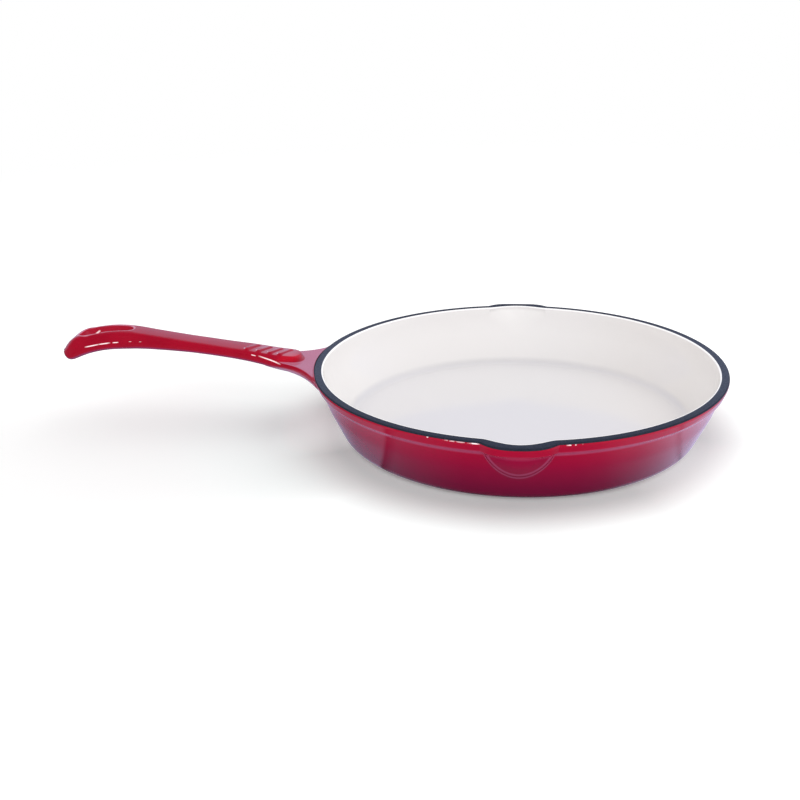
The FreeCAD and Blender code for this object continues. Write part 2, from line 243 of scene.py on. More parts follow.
def bar_field(x, y, z):
    along = -x
    top, bottom = bar_top(along), bar_bottom(along)
    # the flanks spread towards the bottom
    flare = -0.20 * np.clip(z - 0.5 * (top + bottom), -5, 5)
    body = np.abs(y) - (bar_half(along) + flare)
    tip_centre = TIP_END - TIP_RADIUS
    tip = np.hypot(along - tip_centre, y) - (TIP_RADIUS + flare)
    nose_centre = NOSE_END + NOSE_LENGTH
    nose_half = float(bar_half(nose_centre))
    nose = (np.hypot((along - nose_centre) * nose_half / NOSE_LENGTH, y)
            - (nose_half + flare))
    plan = np.where(along > tip_centre, tip, np.where(along < nose_centre, nose, body))
    # rounder above and flatter across near the hanging hole
    loop = smooth_step((along - 242.0) / 12.0)
    crown = 0.006 * np.minimum(y * y, 100.0) * (1 - loop)
    field = rounded_slab(plan, z - top + crown, bottom - z, z, top, bottom,
                         top_round=2.4 + 1.5 * loop, bottom_round=4.0 - 0.4 * loop)
    return smooth_max(field, -hole_distance(along, y), 1.3)


def web_field(x, y, z):
    along = -x
    top, bottom = web_top(along), web_bottom(along)
    slope = web_half(along + 0.5) - web_half(along - 0.5)
    plan = (np.abs(y) - web_half(along)) / np.sqrt(1 + slope * slope)
    plan = np.maximum(plan, np.maximum(WEB_START - along, along - WEB_END))
    return rounded_slab(plan, z - top, bottom - z, z, top, bottom,
                        top_round=1.4, bottom_round=3.4)


def ridge_field(x, y, z):
    field = np.full(np.shape(x), 50.0)
    dx, dy = math.cos(RIDGE_ANGLE) * RIDGE_HALF, math.sin(RIDGE_ANGLE) * RIDGE_HALF
    for place in RIDGES:
        height = float(bar_top(place)) - RIDGE_SINK
        slope = (float(bar_top(place + 4)) - float(bar_top(place - 4))) / 8.0
        start = np.array([-place - dx, -dy + RIDGE_SHIFT, height + slope * dx])
        end = np.array([-place + dx, dy + RIDGE_SHIFT, height - slope * dx])
        line = end - start
        px, py, pz = x - start[0], y - start[1], z - start[2]
        t = np.clip((px * line[0] + py * line[1] + pz * line[2]) / (line @ line), 0, 1)
        distance = np.sqrt((px - t * line[0]) ** 2 + (py - t * line[1]) ** 2
                           + (pz - t * line[2]) ** 2)
        field = np.minimum(field, distance - RIDGE_RADIUS)
    return field


def outer_field(x, y, z):
    """Pan and handle together."""
    field = pan_field(x, y, z)
    near = (x < -92.0) & (np.abs(y) < 60.0)
    if near.any():
        place = x[near], y[near], z[near]
        bar = smooth_min(bar_field(*place), ridge_field(*place), 0.7)
        grip = smooth_min(bar, web_field(*place), 2.0)
        # a wider fillet under the handle than on top
        fillet = 1.3 + 2.4 * (1 - smooth_step((place[2] - 33.0) / 6.0))
        field[near] = smooth_min(field[near], grip, fillet)
    return field


def inner_radius(z, spout):
    wall = WALL_FOOT + WALL_SLOPE * z - WALL_THICK
    edge = BAND_INNER - CREAM_ROLL
    lip = edge - 0.16 * (LIP_HEIGHT - z)
    r = smooth_min(wall, lip, 2.4)
    spout_edge = edge + SPOUT_IN * spout
    bowl = spout_edge - 0.2 - 0.86 * (lip_top(spout) - 2.2 - z)
    return np.where(spout > 0, smooth_max(r, np.minimum(bowl, spout_edge), 4.0), r)


def core_field(x, y, z):
    """The casting under the coats."""
    r = np.hypot(x, y)
    spout = spouts(x, y, r)[2]
    solid = outer_field(x, y, z) + 0.62
    well_r = inner_radius(np.maximum(z, 12.0), spout) + 0.8
    corner = np.hypot(r - WELL_CENTRE, z - WELL_CENTRE_Z) - FLOOR_ROUND - 0.7
    low = np.where(r > WELL_CENTRE, corner, FLOOR_TOP - 0.7 - z)
    well = np.where(z < WELL_END, low, (r - well_r) * WALL_COS)
    # the top is cut under the lip's coat, but not over the handle
    under_lip = (r < LIP_RADIUS + 9.0) & ((x > -100.0) | (r < LIP_RADIUS - 0.5))
    cut_top = np.maximum(solid, z - lip_top(spout) + 0.75)
    return np.maximum(np.where(under_lip, cut_top, solid), -well)


# ------------------------------------------------------------- mesh from field
def gradient(field, points, step=0.05):
    slopes = np.empty_like(points)
    for axis in range(3):
        offset = np.zeros(3)
        offset[axis] = step
        ahead, behind = points + offset, points - offset
        slopes[:, axis] = (field(*ahead.T) - field(*behind.T)) / (2 * step)
    return slopes


def unit(vectors):
    return vectors / np.maximum(np.linalg.norm(vectors, axis=1), 1e-9)[:, None]


def project(field, points, rounds=3, longest=0.6):
    """Moves points onto the field's zero surface."""
    for _ in range(rounds):
        slope = gradient(field, points)
        value = field(*points.T)
        move = -(value / np.maximum((slope * slope).sum(1), 1e-6))[:, None] * slope
        length = np.linalg.norm(move, axis=1)
        move *= np.minimum(1.0, longest / np.maximum(length, 1e-9))[:, None]
        points = points + move
    return points


def surface_net(field, low, high, cell):
    """Quads round the field's zero surface, one point to each crossed cell."""
    low = np.array(low, float)
    count = np.ceil((np.array(high) - low) / cell).astype(int) + 1
    ys = low[1] + cell * np.arange(count[1])
    zs = low[2] + cell * np.arange(count[2])
    y, z = np.meshgrid(ys, zs, indexing="ij")
    values = np.empty(tuple(count))
    for i in range(count[0]):
        values[i] = field(np.full(y.shape, low[0] + cell * i), y, z)
    inside = values < 0
    quads, cells, crossings = [], [], []
    for axis in range(3):
        first, second = [slice(None)] * 3, [slice(None)] * 3
        first[axis] = slice(0, -1)
        second[axis] = slice(1, None)
        here = np.argwhere(inside[tuple(first)] != inside[tuple(second)])
        after = here.copy()
        after[:, axis] += 1
        value_here, value_after = values[tuple(here.T)], values[tuple(after.T)]
        crossing = here.astype(float)
        crossing[:, axis] += value_here / (value_here - value_after)
        # the four cells that share this grid edge
        corners = []
        for du, dv in ((0, 0), (1, 0), (1, 1), (0, 1)):
            corner = here.copy()
            corner[:, (axis + 1) % 3] -= du
            corner[:, (axis + 2) % 3] -= dv
            index = (corner[:, 0] * count[1] + corner[:, 1]) * count[2] + corner[:, 2]
            corners.append(index)
            cells.append(index)
            crossings.append(crossing)
        quad = np.stack(corners, 1)
        flip = ~inside[tuple(here.T)]
        quad[flip] = quad[flip][:, ::-1]
        quads.append(quad)
    crossings = np.concatenate(crossings)
    used, inverse = np.unique(np.concatenate(cells), return_inverse=True)
    hits = np.bincount(inverse)
    points = np.stack([np.bincount(inverse, weights=crossings[:, axis]) / hits
                       for axis in range(3)], 1)
    return points * cell + low, np.searchsorted(used, np.concatenate(quads))


def quad_edges(quads):
    """Sorted point pairs: all first sides, then all second sides, and so on."""
    return np.concatenate([np.sort(quads[:, [i, (i + 1) % 4]], 1) for i in range(4)])


def relax(field, points, quads, rounds, pull=0.6):
    """Evens out the points along the surface."""
    a, b = np.unique(quad_edges(quads), axis=0).T
    total = len(points)
    degree = (np.bincount(a, minlength=total)
              + np.bincount(b, minlength=total)).astype(float)
    for _ in range(rounds):
        mean = np.stack([np.bincount(a, points[b, axis], total)
                         + np.bincount(b, points[a, axis], total)
                         for axis in range(3)], 1) / degree[:, None]
        normal = unit(gradient(field, points))
        move = mean - points
        move -= normal * (move * normal).sum(1)[:, None]
        points = project(field, points + pull * move, 1)
    return points


def subdivide(points, quads):
    edges, inverse = np.unique(quad_edges(quads), axis=0, return_inverse=True)
    middle = inverse.reshape(4, len(quads)).T + len(points)
    centre = np.arange(len(quads)) + len(points) + len(edges)
    new_points = np.concatenate([
        points, 0.5 * (points[edges[:, 0]] + points[edges[:, 1]]), points[quads].mean(1)])
    new_quads = np.concatenate([
        np.stack([quads[:, i], middle[:, i], centre, middle[:, (i + 3) % 4]], 1)
        for i in range(4)])
    return new_points, new_quads


def cut_mesh(points, quads, level, settle):
    """Keeps the side level < 0. Returns points, quads, triangles, cut edges."""
    keep = level < 0
    kept = keep[quads].sum(1)
    crossed = quads[(kept > 0) & (kept < 4)]
    tris = np.concatenate([crossed[:, [0, 1, 2]], crossed[:, [0, 2, 3]]])
    kept_tri = keep[tris].sum(1)
    triangles = [tuple(tri) for tri in tris[kept_tri == 3]]
    new, known, border = [], {}, []

    def cut(a, b):
        a, b = min(a, b), max(a, b)
        if (a, b) not in known:
            t = level[a] / (level[a] - level[b])
            known[a, b] = len(points) + len(new)
            new.append(points[a] * (1 - t) + points[b] * t)
        return known[a, b]

    for tri in tris[(kept_tri > 0) & (kept_tri < 3)]:
        tri = [int(v) for v in tri]
        # turn it so that the first corner is kept and the last is not
        while not (keep[tri[0]] and not keep[tri[2]]):
            tri = tri[1:] + tri[:1]
        first, second, third = tri
        if keep[second]:
            start, end = cut(second, third), cut(third, first)
            triangles += [(first, second, start), (first, start, end)]
        else:
            start, end = cut(first, second), cut(third, first)
            triangles.append((first, start, end))
        border.append((start, end))
    points = np.concatenate([points, settle(np.array(new))])
    return points, quads[kept == 4], np.array(triangles), np.array(border)


def faces_inward(points, quads, normals):
    side_a = points[quads[:, 1]] - points[quads[:, 0]]
    side_b = points[quads[:, 2]] - points[quads[:, 0]]
    return (np.cross(side_a, side_b) * normals[quads[:, 0]]).sum() < 0


def make_object(name, points, faces, normals=None):
    """Smooth object from points in mm and a list of face arrays."""
    mesh = bpy.data.meshes.new(name)
    loops = np.concatenate([f.ravel() for f in faces])
    sizes = np.concatenate([np.full(len(f), f.shape[1]) for f in faces])
    starts = np.concatenate([[0], np.cumsum(sizes)[:-1]])
    mesh.vertices.add(len(points))
    mesh.vertices.foreach_set("co", (points / 1000.0).astype(np.float32).ravel())
    mesh.loops.add(len(loops))
    mesh.loops.foreach_set("vertex_index", loops.astype(np.int32))
    mesh.polygons.add(len(sizes))
    mesh.polygons.foreach_set("loop_start", starts.astype(np.int32))
    mesh.polygons.foreach_set("loop_total", sizes.astype(np.int32))
    mesh.polygons.foreach_set("use_smooth", np.ones(len(sizes), bool))
    mesh.update(calc_edges=True)
    mesh.validate()
    if normals is not None:
        mesh.normals_split_custom_set_from_vertices([tuple(n) for n in normals])
    ob = bpy.data.objects.new(name, mesh)
    bpy.context.scene.collection.objects.link(ob)
    return ob


# --------------------------------------------------------------- the red coat
def red_level(points):
    """Height above the red coat's edge; anything outside the lip stays red."""
    x, y, z = points.T
    r = np.hypot(x, y)
    spout_out, _, spout_in = spouts(x, y, r)
    beyond = np.maximum(0.0, r - LIP_RADIUS - SPOUT_OUT * spout_out - 0.12)
    return (z - band_edge(spout_in)) - 4.0 * beyond


def settle_on_edge(points):
    """Brings cut points onto both the surface and the coat's edge."""
    for _ in range(5):
        points = project(outer_field, points, 1)
        points[:, 2] -= np.clip(red_level(points), -0.3, 0.3)
    return project(outer_field, points, 1)


# rings of the turned-in edge: rise, inward shift (mm), tilt of the normal (degrees)
RED_EDGE = ((0.10, 0.05, 35), (0.15, 0.16, 70), (0.15, 0.5, 90))


def turn_in_edge(points, normals, border):
    """Adds the strip where the red coat turns in over the dark one."""
    edge = np.unique(border)
    up = np.array([0, 0, 1.0])
    outward = points[edge]
    outward[:, 2] = 0
    outward /= np.linalg.norm(outward, axis=1)[:, None]
    rings, ring_normals = [points], [normals]
    for rise, shift, tilt in RED_EDGE:
        rings.append(points[edge] + up * rise - outward * shift)
        tilt = math.radians(tilt)
        tilted = normals[edge] * math.cos(tilt) + up * math.sin(tilt)
        ring_normals.append(tilted / np.linalg.norm(tilted, axis=1)[:, None])
    ring_starts = len(points) + len(edge) * np.arange(len(RED_EDGE))
    # for each end of a border edge: its point on the coat, then on every ring
    a, b = (np.column_stack([ends, np.searchsorted(edge, ends)[:, None] + ring_starts])
            for ends in border.T)
    strips = np.stack([b[:, :-1], a[:, :-1], a[:, 1:], b[:, 1:]], 2).reshape(-1, 4)
    return np.concatenate(rings), np.concatenate(ring_normals), strips


def red_coat():
    points, quads = surface_net(outer_field, (-300, -140, -3.1), (134.5, 140, 66), 1.6)
    points = project(outer_field, points, 3, 1.0)
    points = relax(outer_field, points, quads, 3)
    points, quads = subdivide(points, quads)
    points = project(outer_field, points, 3)
    points = relax(outer_field, points, quads, 2, 0.5)
    # points close to the edge are moved onto it, so that no slivers are cut
    level = red_level(points)
    near = np.abs(level) < 0.12
    points[near, 2] -= level[near]
    points[near] = project(outer_field, points[near], 2)
    level = red_level(points)
    level[near] = np.where(level[near] < 0, -1e-4, 1e-4)

    points, quads, triangles, border = cut_mesh(points, quads, level, settle_on_edge)
    normals = unit(gradient(outer_field, points))
    points, normals, strips = turn_in_edge(points, normals, border)
    faces = [np.concatenate([quads, strips]), triangles]
    # drop the points that no face uses any more
    used = np.zeros(len(points), bool)
    for group in faces:
        used[group.ravel()] = True
    renumber = np.cumsum(used) - 1
    points, normals = points[used], normals[used]
    faces = [renumber[group] for group in faces]
    if faces_inward(points, faces[0], normals):
        faces = [group[:, ::-1] for group in faces]
    return make_object("exterior_enamel", points, faces, normals)


# -------------------------------------------------- turned coats, lip and well
def ring_angles():
    """Every degree, and every half degree round the spouts."""
    angles, angle = [], 0.0
    while angle < 359.9999:
        angles.append(angle)
        from_spout = min(abs(angle - 90.0), abs(angle - 270.0))
        angle += 0.5 if from_spout < 14.9999 else 1.0
    return np.radians(np.array(angles))


ANGLES = ring_angles()
SPOUT_RING_OUT, _, SPOUT_RING_IN = spouts(
    LIP_RADIUS * np.cos(ANGLES), LIP_RADIUS * np.sin(ANGLES),
    np.full_like(ANGLES, LIP_RADIUS))
RING_TOP = lip_top(SPOUT_RING_IN)


def ring_mesh(name, rows, close=None):
    """rows: (radius, height) from outside to inside; close: height of the centre."""
    count = len(ANGLES)
    points = np.concatenate([
        np.stack([r * np.cos(ANGLES), r * np.sin(ANGLES),
                  np.broadcast_to(z, ANGLES.shape)], 1) for r, z in rows])
    i = np.arange(count)
    j = (i + 1) % count
    faces = [np.concatenate([
        np.stack([k * count + i, k * count + j, (k + 1) * count + j,
                  (k + 1) * count + i], 1) for k in range(len(rows) - 1)])]
    if close is not None:
        last = (len(rows) - 1) * count
        faces.append(np.stack([last + i, last + j, np.full(count, len(points))], 1))
        points = np.concatenate([points, [[0, 0, close]]])
    return make_object(name, points, faces)


def dark_band():
    outer = LIP_RADIUS + SPOUT_OUT * SPOUT_RING_OUT - 0.05
    inner = BAND_INNER + SPOUT_IN * SPOUT_RING_IN
    cut = band_edge(SPOUT_RING_IN)
    top = RING_TOP
    # lower edge, tucked under the red coat, then up the outer side
    rows = [(outer - 1.4, cut - 0.9), (outer - 0.9, cut - 0.5),
            (outer - 0.35, cut - 0.15), (outer - 0.02, cut + 0.05),
            (outer, top - 0.86)]
    rounding = 0.8
    shoulder = outer - rounding
    for angle in np.radians(np.linspace(0, 90, 9)[1:]):
        rows.append((shoulder + rounding * math.cos(angle),
                     top - 0.06 - rounding + rounding * math.sin(angle)))
    # across the top, slightly crowned
    for t in (0.25, 0.5, 0.75, 1.0):
        rows.append((shoulder + (inner + 0.35 - shoulder) * t,
                     top - 0.06 + 0.06 * math.sin(math.pi * t)))
    rows += [(inner + 0.1, top - 0.10), (inner - 0.15, top - 0.2),
             (inner - 0.4, top - 0.6)]
    return ring_mesh("rim_enamel", rows)


def cream_coat():
    edge = BAND_INNER + SPOUT_IN * SPOUT_RING_IN
    top = RING_TOP
    rows = [(edge - 0.02, top - 0.50), (edge - 0.04, top - 0.16),
            (edge - 0.14, top - 0.06)]
    wall_start = top - 0.05 - CREAM_ROLL
    for angle in np.radians(np.linspace(90, 180, 9)[1:]):
        rows.append((edge - 0.18 + (CREAM_ROLL - 0.18) * math.cos(angle),
                     wall_start + CREAM_ROLL * math.sin(angle)))
    for t in np.linspace(0, 1, 34)[1:]:
        z = wall_start + (WELL_END + 0.6 - wall_start) * t
        rows.append((inner_radius(z, SPOUT_RING_IN), z))
    for angle in np.radians(np.linspace(-math.degrees(WALL_ANGLE), -90, 16)):
        rows.append((WELL_CENTRE + FLOOR_ROUND * math.cos(angle),
                     WELL_CENTRE_Z + FLOOR_ROUND * math.sin(angle)))
    for r in (99.0, 94.0, 84.0, 72.0, 60.0, 48.0, 36.0, 24.0, 12.0, 5.0):
        rows.append((r, FLOOR_TOP))
    return ring_mesh("interior_enamel", rows, close=FLOOR_TOP)


def iron_core():
    points, quads = surface_net(core_field, (-300, -140, -2.2), (134, 140, 66), 2.0)
    points = project(core_field, points, 2, 0.8)
    if faces_inward(points, quads, gradient(core_field, points)):
        quads = quads[:, ::-1]
    return make_object("iron_casting_body", points, [quads])


# ---------------------------------------------------------- shader node helpers
def srgb(*channels):
    """Linear colour from 0-255 sRGB channels."""
    def linear(c):
        c /= 255.0
        return c / 12.92 if c <= 0.04045 else ((c + 0.055) / 1.055) ** 2.4
    return (*(linear(c) for c in channels), 1.0)


def operator(kind, swapped=False):
    def apply(self, other=0.0):
        pair = (other, self) if swapped else (self, other)
        return self.net.math(kind, *pair)
    return apply


class Signal:
    """Output of a shader node; arithmetic on it adds Math nodes."""

    def __init__(self, net, socket):
        self.net = net
        self.socket = socket

    __add__ = operator("ADD")
    __sub__ = operator("SUBTRACT")
    __rsub__ = operator("SUBTRACT", swapped=True)
    __mul__ = operator("MULTIPLY")
    __truediv__ = operator("DIVIDE")
    __pow__ = operator("POWER")
    __lt__ = operator("LESS_THAN")
    __gt__ = operator("GREATER_THAN")
    __abs__ = operator("ABSOLUTE")

    def sibling(self, key):
        """Another output of the same node."""
        return Signal(self.net, self.socket.node.outputs[key])

    def remap(self, start, end, first=0.0, last=1.0, kind="LINEAR"):
        """Goes from first to last as the signal goes from start to end."""
        inputs = dict(enumerate((self, start, end, first, last)))
        return self.net.add("MapRange", inputs, interpolation_type=kind)

    def fade(self, start, end, first=0.0, last=1.0):
        """Remap that eases in and out."""
        return self.remap(start, end, first, last, kind="SMOOTHSTEP")

    def bell(self, mid, half, sharp=2.0):
        """1 at mid, 0 beyond half on either side."""
        return larger(1.0 - abs((self - mid) / half) ** sharp, 0.0)

    def ramp(self, stops, mode="EASE"):
        """Colour ramp through stops of (position, colour)."""
        ramp = self.net.add("ValToRGB", {0: self})
        color_ramp = ramp.socket.node.color_ramp
        color_ramp.interpolation = mode
        elements = color_ramp.elements
        elements[0].position, elements[0].color = stops[0]
        elements[1].position, elements[1].color = stops[-1]
        for position, color in stops[1:-1]:
            elements.new(position).color = color
        return ramp

    def blend(self, toward, by):
        """Mixes this colour toward another."""
        return self.net.add("Mix", {0: by, 6: self, 7: toward}, out=2, data_type="RGBA")


def larger(a, b):
    return a.net.math("MAXIMUM", a, b)


class Net:
    """Node tree of a material or world."""

    def __init__(self, tree):
        self.tree = tree
        tree.nodes.clear()

    def put(self, socket, value):
        if isinstance(value, Signal):
            self.tree.links.new(value.socket, socket)
        else:
            socket.default_value = value

    def add(self, kind, inputs=None, out=0, **settings):
        """Adds a node and returns one of its outputs."""
        node = self.tree.nodes.new("ShaderNode" + kind)
        for key, value in settings.items():
            setattr(node, key, value)
        for key, value in (inputs or {}).items():
            self.put(node.inputs[key], value)
        return Signal(self, node.outputs[out])

    def finish(self, kind, shader):
        self.put(self.tree.nodes.new("ShaderNode" + kind).inputs[0], shader)

    def math(self, operation, a, b=0.0, c=0.0):
        return self.add("Math", dict(enumerate((a, b, c))), operation=operation)

    def split(self, vector):
        first = self.add("SeparateXYZ", {0: vector})
        return [first.sibling(i) for i in range(3)]

    @cached_property
    def coords(self):
        return self.add("TexCoord", out="Object")

    @cached_property
    def place(self):
        return self.split(self.coords)

    @cached_property
    def normal(self):
        return self.split(self.add("NewGeometry", out="Normal"))

    @cached_property
    def radius(self):
        x, y, _ = self.place
        return self.math("SQRT", x * x + y * y)

    def noise(self, scale, detail=2.0, rough=0.5):
        return self.add("TexNoise", {"Vector": self.coords, "Scale": scale,
                                     "Detail": detail, "Roughness": rough})

    def bump(self, height, strength, distance):
        return self.add("Bump", {"Strength": strength, "Distance": distance,
                                 "Height": height})

    def principled(self, **values):
        return self.add("BsdfPrincipled",
                        {key.replace("_", " "): v for key, v in values.items()})

    def mix_shader(self, fac, a, b):
        return self.add("MixShader", {0: fac, 1: a, 2: b})


def make_material(name, shader_of):
    material = bpy.data.materials.new(name)
    material.use_nodes = True
    net = Net(material.node_tree)
    net.finish("OutputMaterial", shader_of(net))
    return material


# ------------------------------------------------------------------ red enamel
# height up the wall, 0 to 1, and colour; the red darkens towards the base as painted shade
WALL_COLOURS = [
    (0.0, srgb(108, 3, 50)), (0.22, srgb(117, 3, 50)), (0.55, srgb(138, 3, 50)),
    (0.80, srgb(158, 3, 48)), (0.88, srgb(162, 4, 47)), (0.965, srgb(164, 5, 46)),
    (1.0, srgb(172, 14, 46))]

# painted light streaks on the handle's near flank, mm:
# distance from the axis and height of each end, half width
STREAKS = (
    (278.1, 53.8, 269.1, 55.7, 0.42),
    (269.1, 55.7, 261.8, 56.7, 0.40),
    (259.5, 56.8, 256.6, 56.9, 0.34),
    (249.0, 57.2, 248.4, 57.2, 0.10),
    (242.5, 57.0, 242.0, 57.0, 0.08),
    (169.8, 49.1, 167.7, 48.6, 0.30),
    (165.3, 48.4, 151.2, 43.9, 0.42),
)


def red_wall(net):
    """Colour of the pan's side, with painted shade, pale painted highlights under the lip
    and round the bowl, and a painted reflection on the far right.
    """
    x, y, z = net.place
    colour = z.remap(start=0.0, end=0.0413).ramp(WALL_COLOURS, "LINEAR")
    arc = x / net.radius * (LIP_RADIUS / BOWL_HALF)
    side = abs(y) > 0.06
    # outline of the spout's bowl: negative inside it
    down = larger((BOWL_TOP * 0.001 - z) / (BOWL_DEPTH * 0.001), 0.0)
    outline = down ** 1.3333 + arc * arc - 1.0
    from_crease = outline / 0.085          # about mm, positive outside the bowl
    inner_line = from_crease.bell(mid=-1.6, half=1.3) * 0.52
    outer_line = from_crease.bell(mid=1.35, half=1.05) * 0.50
    crease = from_crease.bell(mid=-0.05, half=0.6)
    under = z.fade(start=0.0352, end=0.0338)
    inside = (outline < 0.0) * side
    highlight_lines = larger(inner_line, outer_line) * side * under
    bead_highlight = (z * 1000.0).bell(mid=35.2, half=1.9) * (0.66 - inside * 0.42)
    # painted light inside the spout's bowl: its red is set to a brighter, more even tone
    colour = colour.blend(srgb(140, 3, 52), by=inside * (under * 0.85))
    # painted highlights: pale bands round the bowl and along the step under the lip
    colour = colour.blend(srgb(166, 78, 116), by=larger(highlight_lines, bead_highlight))
    # painted shade along the crease of the bowl
    colour = colour.blend(srgb(96, 4, 44), by=crease * side * under * 0.6)
    # painted reflection, pale, on the far right of the wall
    below = x.fade(start=0.080, end=0.118, first=0.0352, last=0.0402) - z
    painted_reflection = (below.fade(start=-0.0006, end=0.0006)
             * x.fade(start=0.060, end=0.108, last=0.18))
    return colour.blend(srgb(206, 184, 212), by=painted_reflection)


def red_grip(net):
    """Colour of the handle and web, by place, with painted light and shade by the way the
    surface faces.
    """
    x, y, z = net.place
    normal_x, _, normal_z = net.normal
    colour = net.noise(scale=60.0, detail=3.0).ramp(
        [(0.35, srgb(160, 8, 37)), (0.65, srgb(168, 11, 40))])
    # painted highlight: upward faces of the web between handle and pan are paler
    web = normal_z.fade(start=0.80, end=0.97) * z.fade(start=0.0462, end=0.0446)
    colour = colour.blend(srgb(186, 112, 140), by=web * 0.88)
    # painted highlight on the pale flanks of the ridges
    ridges = (normal_x.fade(start=-0.16, end=-0.42)
              * x.bell(mid=-0.1605, half=0.0185, sharp=6.0)
              * normal_z.fade(start=0.45, end=0.65)
              * z.fade(start=0.0475, end=0.0490))
    colour = colour.blend(srgb(232, 206, 228), by=ridges)
    # painted reflection: a cool tone on whatever looks down
    down = normal_z.fade(start=-0.12, end=-0.65, last=0.8)
    colour = colour.blend(srgb(134, 66, 108), by=down)
    # painted highlight on the web's near flank, below its upper edge
    flank = (x.bell(mid=-0.1400, half=0.0230, sharp=4.0) * (y < -0.0075)
             * normal_z.fade(start=0.10, end=-0.25, last=0.62)
             * z.fade(start=0.0425, end=0.0405))
    colour = colour.blend(srgb(196, 160, 192), by=flank)
    # painted light: the near cheek of the bar's nose is the brightest red
    cheek = (x.bell(mid=-0.1460, half=0.0085, sharp=3.0)
             * z.bell(mid=0.0466, half=0.0021) * (y < -0.002))
    colour = colour.blend(srgb(206, 20, 44), by=cheek * 0.7)
    # painted highlight: pale top behind the nose
    shoulder = (x.bell(mid=-0.1560, half=0.0170, sharp=3.0)
                * normal_z.fade(start=0.86, end=0.98, last=0.42)
                * z.fade(start=0.0464, end=0.0474))
    return colour.blend(srgb(206, 150, 172), by=shoulder)


def from_hole(net, along, y):
    """Distance in plan from the hanging hole's outline, mm."""
    t = along.remap(start=HOLE_NEAR, end=HOLE_FAR)
    lengthwise = along - net.math("MULTIPLY_ADD", t, HOLE_FAR - HOLE_NEAR, HOLE_NEAR)
    distance = net.math("SQRT", lengthwise * lengthwise + y * y)
    return distance - net.math("MULTIPLY_ADD", t, HOLE_FAR_R - HOLE_NEAR_R, HOLE_NEAR_R)


def flank_streaks(net):
    """Soft painted highlights along the near flank of the handle."""
    x, y, z = net.place
    glow = None
    for start, start_z, end, end_z, half in STREAKS:
        length = math.hypot(end - start, end_z - start_z)
        ux, uz = (end - start) / length, (end_z - start_z) / length
        a = x * -1000.0 - start
        b = z * 1000.0 - start_z
        lengthwise = a * ux + b * uz
        across = b * ux - a * uz
        streak = (lengthwise.bell(mid=0.5 * length, half=0.5 * length + 0.6, sharp=3.0)
                  * across.bell(mid=0.0, half=half + 0.05, sharp=1.6))
        glow = streak if glow is None else larger(glow, streak)
    patchy = net.noise(scale=700.0, detail=1.0).remap(start=0.35, end=0.5, first=0.75)
    return glow * (y < -0.0085) * patchy


def hole_glint(net, along):
    """One slanting glint on the far side of the hanging hole."""
    _, y, z = net.place
    a = along - 276.2
    b = z * 1000.0 - 57.3
    return ((a * 0.6 + b * 0.8).bell(mid=0.0, half=0.75, sharp=1.6)
            * (a * 0.8 - b * 0.6).bell(mid=0.0, half=2.4, sharp=3.0)
            * y.bell(mid=0.0064, half=0.0034, sharp=8.0))


def edge_glints(net):
    """Painted glints where the red coat stops under the dark one, by the near spout."""
    x, y, z = net.place
    x_mm = x * 1000.0
    glint_spots = larger(x_mm.bell(mid=-24.0, half=3.2), x_mm.bell(mid=29.5, half=4.8))
    glint_spots = larger(glint_spots, x_mm.bell(mid=-33.0, half=8.5, sharp=4.0) * 0.42)
    glint_spots = larger(glint_spots, x_mm.bell(mid=-49.0, half=1.6))
    return (glint_spots * z.fade(start=0.04085, end=0.04125) * (y < -0.1)
            * net.noise(scale=420.0).remap(start=0.42, end=0.52))


def red_enamel(net):
    x, y, _ = net.place
    normal_z = net.normal[2]
    handle = net.radius.fade(start=0.1296, end=0.1306) * (x < -0.1)
    colour = red_wall(net).blend(red_grip(net), by=handle)
    mottle = net.noise(scale=900.0).remap(start=0.42, end=0.62, last=0.08)
    colour = colour.blend(srgb(120, 6, 34), by=mottle)
    # painted highlight on the crest round the hanging hole, and painted light making its
    # bore a lighter red
    along = x * -1000.0
    hole = from_hole(net, along, y * 1000.0)
    crest = hole.bell(mid=0.6, half=1.25) * normal_z.fade(start=0.40, end=0.70, last=0.75)
    colour = colour.blend(srgb(222, 150, 176), by=crest)
    bore = (hole.fade(start=0.9, end=-0.1) * (normal_z < 0.4)
            * (along > HOLE_NEAR - HOLE_NEAR_R - 2.0))
    colour = colour.blend(srgb(208, 48, 76), by=bore * 0.6)
    # painted highlights: the streaks on the flank, the glint in the hole and the glints at
    # the coat's edge lighten the colour and glow
    glow = larger(larger(flank_streaks(net), hole_glint(net, along)), edge_glints(net))
    return net.principled(
        Base_Color=colour.blend(srgb(248, 226, 230), by=glow),
        Roughness=net.noise(scale=35.0).remap(start=0.3, end=0.7, first=0.07, last=0.10),
        IOR=1.5,
        Emission_Color=srgb(255, 238, 240),
        Emission_Strength=glow * 0.45,
        Normal=net.bump(net.noise(scale=420.0), strength=0.03, distance=0.0006))


# ------------------------------------------------------------- other materials
def cream_enamel(net):
    x, _, z = net.place
    cloud = net.noise(scale=6.0, detail=1.0)
    walls = cloud.ramp([(0.0, srgb(245, 242, 241)), (1.0, srgb(249, 247, 247))], "LINEAR")
    bottom = cloud.ramp([(0.0, srgb(224, 222, 223)), (1.0, srgb(228, 226, 229))], "LINEAR")
    # painted shade: the floor of the well is darker than its walls
    colour = bottom.blend(walls, by=z.fade(start=0.0056, end=0.0098))
    # warmer towards the right
    colour = colour.blend(srgb(243, 236, 231), by=x.fade(start=0.02, end=0.115, last=0.30))
    grain = net.noise(scale=1400.0, detail=1.0) * 0.05
    colour = colour.blend(srgb(206, 200, 200), by=grain)
    # painted highlight along the lip's edge, which also glows
    edge = z.fade(start=0.04155, end=0.0420)
    return net.principled(
        Base_Color=colour.blend(srgb(252, 251, 251), by=edge),
        Roughness=net.math("MULTIPLY_ADD", cloud, 0.04, 0.10),
        IOR=1.5,
        Emission_Color=(1, 1, 1, 1),
        Emission_Strength=edge * 0.14,
        Normal=net.bump(net.noise(scale=60.0, detail=1.0), strength=0.02, distance=0.0003))


